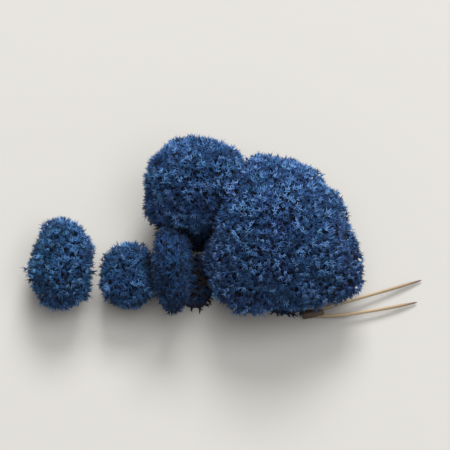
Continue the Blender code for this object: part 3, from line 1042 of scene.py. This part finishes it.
def foot_surfaces(head):
    """The mat, and short pointed sprigs that start on its side or top and lie about outwards."""
    draw = np.random.default_rng(head.seed + FOOT_DRAWS)
    heights, shares = np.array(FOOT_RINGS).T
    count = int(FOOT_SPRIGS_PER_AREA * math.pi * head.foot_radius**2 * FOOT_SIDE_SHARE)
    turn = draw.uniform(0, 2 * math.pi, count)
    height = heights[-1] * MM * draw.random(count) ** SPRIG_HIGH_POWER
    radius = np.interp(height, heights * MM, shares) * foot_outline(head, turn)
    radius *= SPRIG_SINK - SPRIG_INWARDS * (height > FOOT_TOP) * draw.random(count)
    start = foot_middle(head) + on_circle(turn, radius, height)
    heading = turn + draw.normal(size=count) * SPRIG_HEADING
    rise = draw.uniform(*SPRIG_RISE, count)
    towards = unit(on_circle(heading, 1.0, rise))
    length = draw.uniform(*SPRIG_LENGTH, (count, 1)) * MM
    end = start + towards * length
    end[:, 2] = np.maximum(end[:, 2], SPRIG_HEIGHT)
    bend = (start + end) / 2 + draw.normal(size=(count, 3)) * SPRIG_BEND * length
    bend[:, 2] = np.maximum(bend[:, 2], SPRIG_HEIGHT)
    tones = np.where(draw.random(count) < DEAD_SPRIGS, DEAD_TONE, head.tone)
    paths = curves((start, bend, end), SPRIG.steps)
    return [mat_surface(head), grown(SPRIG, paths, tones, pointed=True)]


print("feet, mm across:", {head.name: round(2 * head.foot_radius, 1) for head in HEADS})

# %% Put the heads together
for head in HEADS:
    outer, inner = crown_surfaces(head)
    inner.append(closed_ball(head, *CORE_GRIDS.get(head.name, OTHER_CORE_GRID)))
    inner += stem_surfaces(head) + podetia_surfaces(head) + foot_surfaces(head)
    for ending, surfaces in (("_stars", outer), ("_branches", inner)):
        piece = mesh_object(head.name + ending, surfaces, LICHEN)
        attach(piece, "root")
        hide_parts(head.name)
        print(piece.name, len(piece.data.polygons), "triangles")


# %% [markdown]
# ## The pine needles
#
# A pair of dead needles from a two-needled pine is caught under the clump. Each is half of a slim
# rod that was split down its middle, so its profile is round outside and flat inside, and a papery
# brown sheath joins the two. Dry, they are the colour of straw, with a little gloss from their wax.

# %% Needle shapes
NEEDLE_RADIUS = 0.55 * MM
NEEDLE_STEPS = 40
NEEDLE_CORNERS = 9  # on the round side of its section
NEEDLE_TAPER = 0.16  # of its length, over which it is drawn in
NEEDLE_TAPER_POWER = 0.6  # under 1, so it is blunter than a cone
NEEDLE_TAPER_END = 1.02  # of its length, where the taper would come to nothing
NEEDLE_OFF_MIDDLE = 0.7  # of its radius, from the sheath's middle
SHEATH_RADIUS = 0.95 * MM
SHEATH_LENGTH = 4.5 * MM
SHEATH_BEARING = math.radians(-62)  # where it leans on the large head's foot
SHEATH_GAP = 0.3 * MM  # air between it and that foot, as the solids have
SHEATH_NARROWING = 0.15  # of its radius, towards the needles
SHEATH_CREASE = 0.05  # of its radius
SHEATH_CREASES = 22  # radians of them along it
SHEATH_STEPS = 9
SHEATH_SIDES = 16
SHEATH_ON_MAP = 0.12  # where it ends across the colour map
NEEDLES_ON_MAP = 0.2  # where they begin there
NEEDLE_TONE = 0.5  # the middle of the map's height, as needles have no tones
NEEDLE_ROUTES = (
    ((14.0, -8.6, 3.4), (22.0, -6.0, 2.2), (31.5, -2.6, 0.6)),
    ((13.0, -11.6, 2.4), (21.5, -10.2, 2.6), (30.5, -7.6, 0.6)),
)


def half_round_section(corners):
    """Half a circle, closed by a slightly hollow flat side."""
    turn = np.linspace(0, math.pi, corners)
    arc = on_circle(turn)[:, :2]
    hollow = np.array(((-0.5, 0.08), (0.0, 0.16), (0.5, 0.08)))
    return np.concatenate((arc, hollow)) - (0, 0.4)


def sheath_root():
    """Where the sheath lies: just above the floor, beside the large head's foot."""
    away = foot_outline(HEADS[0], SHEATH_BEARING) + SHEATH_GAP + SHEATH_RADIUS
    return on_circle(SHEATH_BEARING, away, SHEATH_RADIUS + SHEATH_GAP / 2)


def needle_surfaces():
    """Two needles and their sheath, which cross the colour map from its end to their tips. Over the
    taper, a needle's radius shrinks by (length left over the taper's) to the taper's power."""
    root = sheath_root()
    routes = np.array(NEEDLE_ROUTES) * MM
    outwards = unit(routes[:, 0].mean(axis=0) - root)
    share = np.linspace(0, 1, NEEDLE_STEPS)
    taper = np.minimum(1, (NEEDLE_TAPER_END - share) / NEEDLE_TAPER) ** NEEDLE_TAPER_POWER
    radii = NEEDLE_RADIUS * taper
    way_out = NEEDLES_ON_MAP + (1 - NEEDLES_ON_MAP) * share
    section = half_round_section(NEEDLE_CORNERS)
    surfaces = []
    for side, (lean, arrive, tip) in zip((1, -1), routes):
        start = root + outwards * SHEATH_LENGTH / 2
        start[1] += side * NEEDLE_RADIUS * NEEDLE_OFF_MIDDLE
        path = curves((start, lean, arrive, tip), NEEDLE_STEPS)[None]
        surfaces.append(swept(path, radii, section, way_out, NEEDLE_TONE, pointed=True))
    share = np.linspace(0, 1, SHEATH_STEPS)
    path = (root + outwards * (share * SHEATH_LENGTH)[:, None])[None]
    creases = SHEATH_CREASE * np.sin(share * SHEATH_CREASES)
    radii = SHEATH_RADIUS * (1 - SHEATH_NARROWING * share + creases)
    way_out = SHEATH_ON_MAP * share
    section = round_section(SHEATH_SIDES)
    return [*surfaces, swept(path, radii, section, way_out, NEEDLE_TONE, pointed=False)]


print("the sheath begins at, mm:", [round(float(c) / MM, 1) for c in sheath_root()])

# %% Dry needles
SHEATH_BROWN = ((0.0, "#33261d"), (0.13, "#513f31"))
NEEDLE_ROUGHNESS = 0.5
STRAW = ((0.2, "#7f6b54"), (0.5, "#a18d70"), (0.9, "#88735a"), (1.0, "#44342a"))


def dry_needle():
    """Dry pine needle: waxy, a little glossier than the lichen, straw-coloured with a brown end."""
    material, tree, shader = new_material("dry_pine_needle", {"Roughness": NEEDLE_ROUGHNESS})
    place = add_node(tree, "ShaderNodeUVMap", uv_map=COLOUR_MAP)
    parts = add_node(tree, "ShaderNodeSeparateXYZ", {"Vector": place.outputs["UV"]})
    straw = add_node(tree, "ShaderNodeValToRGB", {"Fac": parts.outputs["X"]}, SHEATH_BROWN + STRAW)
    tree.links.new(straw.outputs["Color"], shader.inputs["Base Color"])
    return material


needles = mesh_object("pine_needle_pair_dry", needle_surfaces(), dry_needle())
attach(needles, "root")
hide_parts("pine_needle_pair")
print(needles.name, len(needles.data.polygons), "triangles")


# %% [markdown]
# ## The end
#
# The scene is brought up to date.

# %% Finish
bpy.context.view_layer.update()
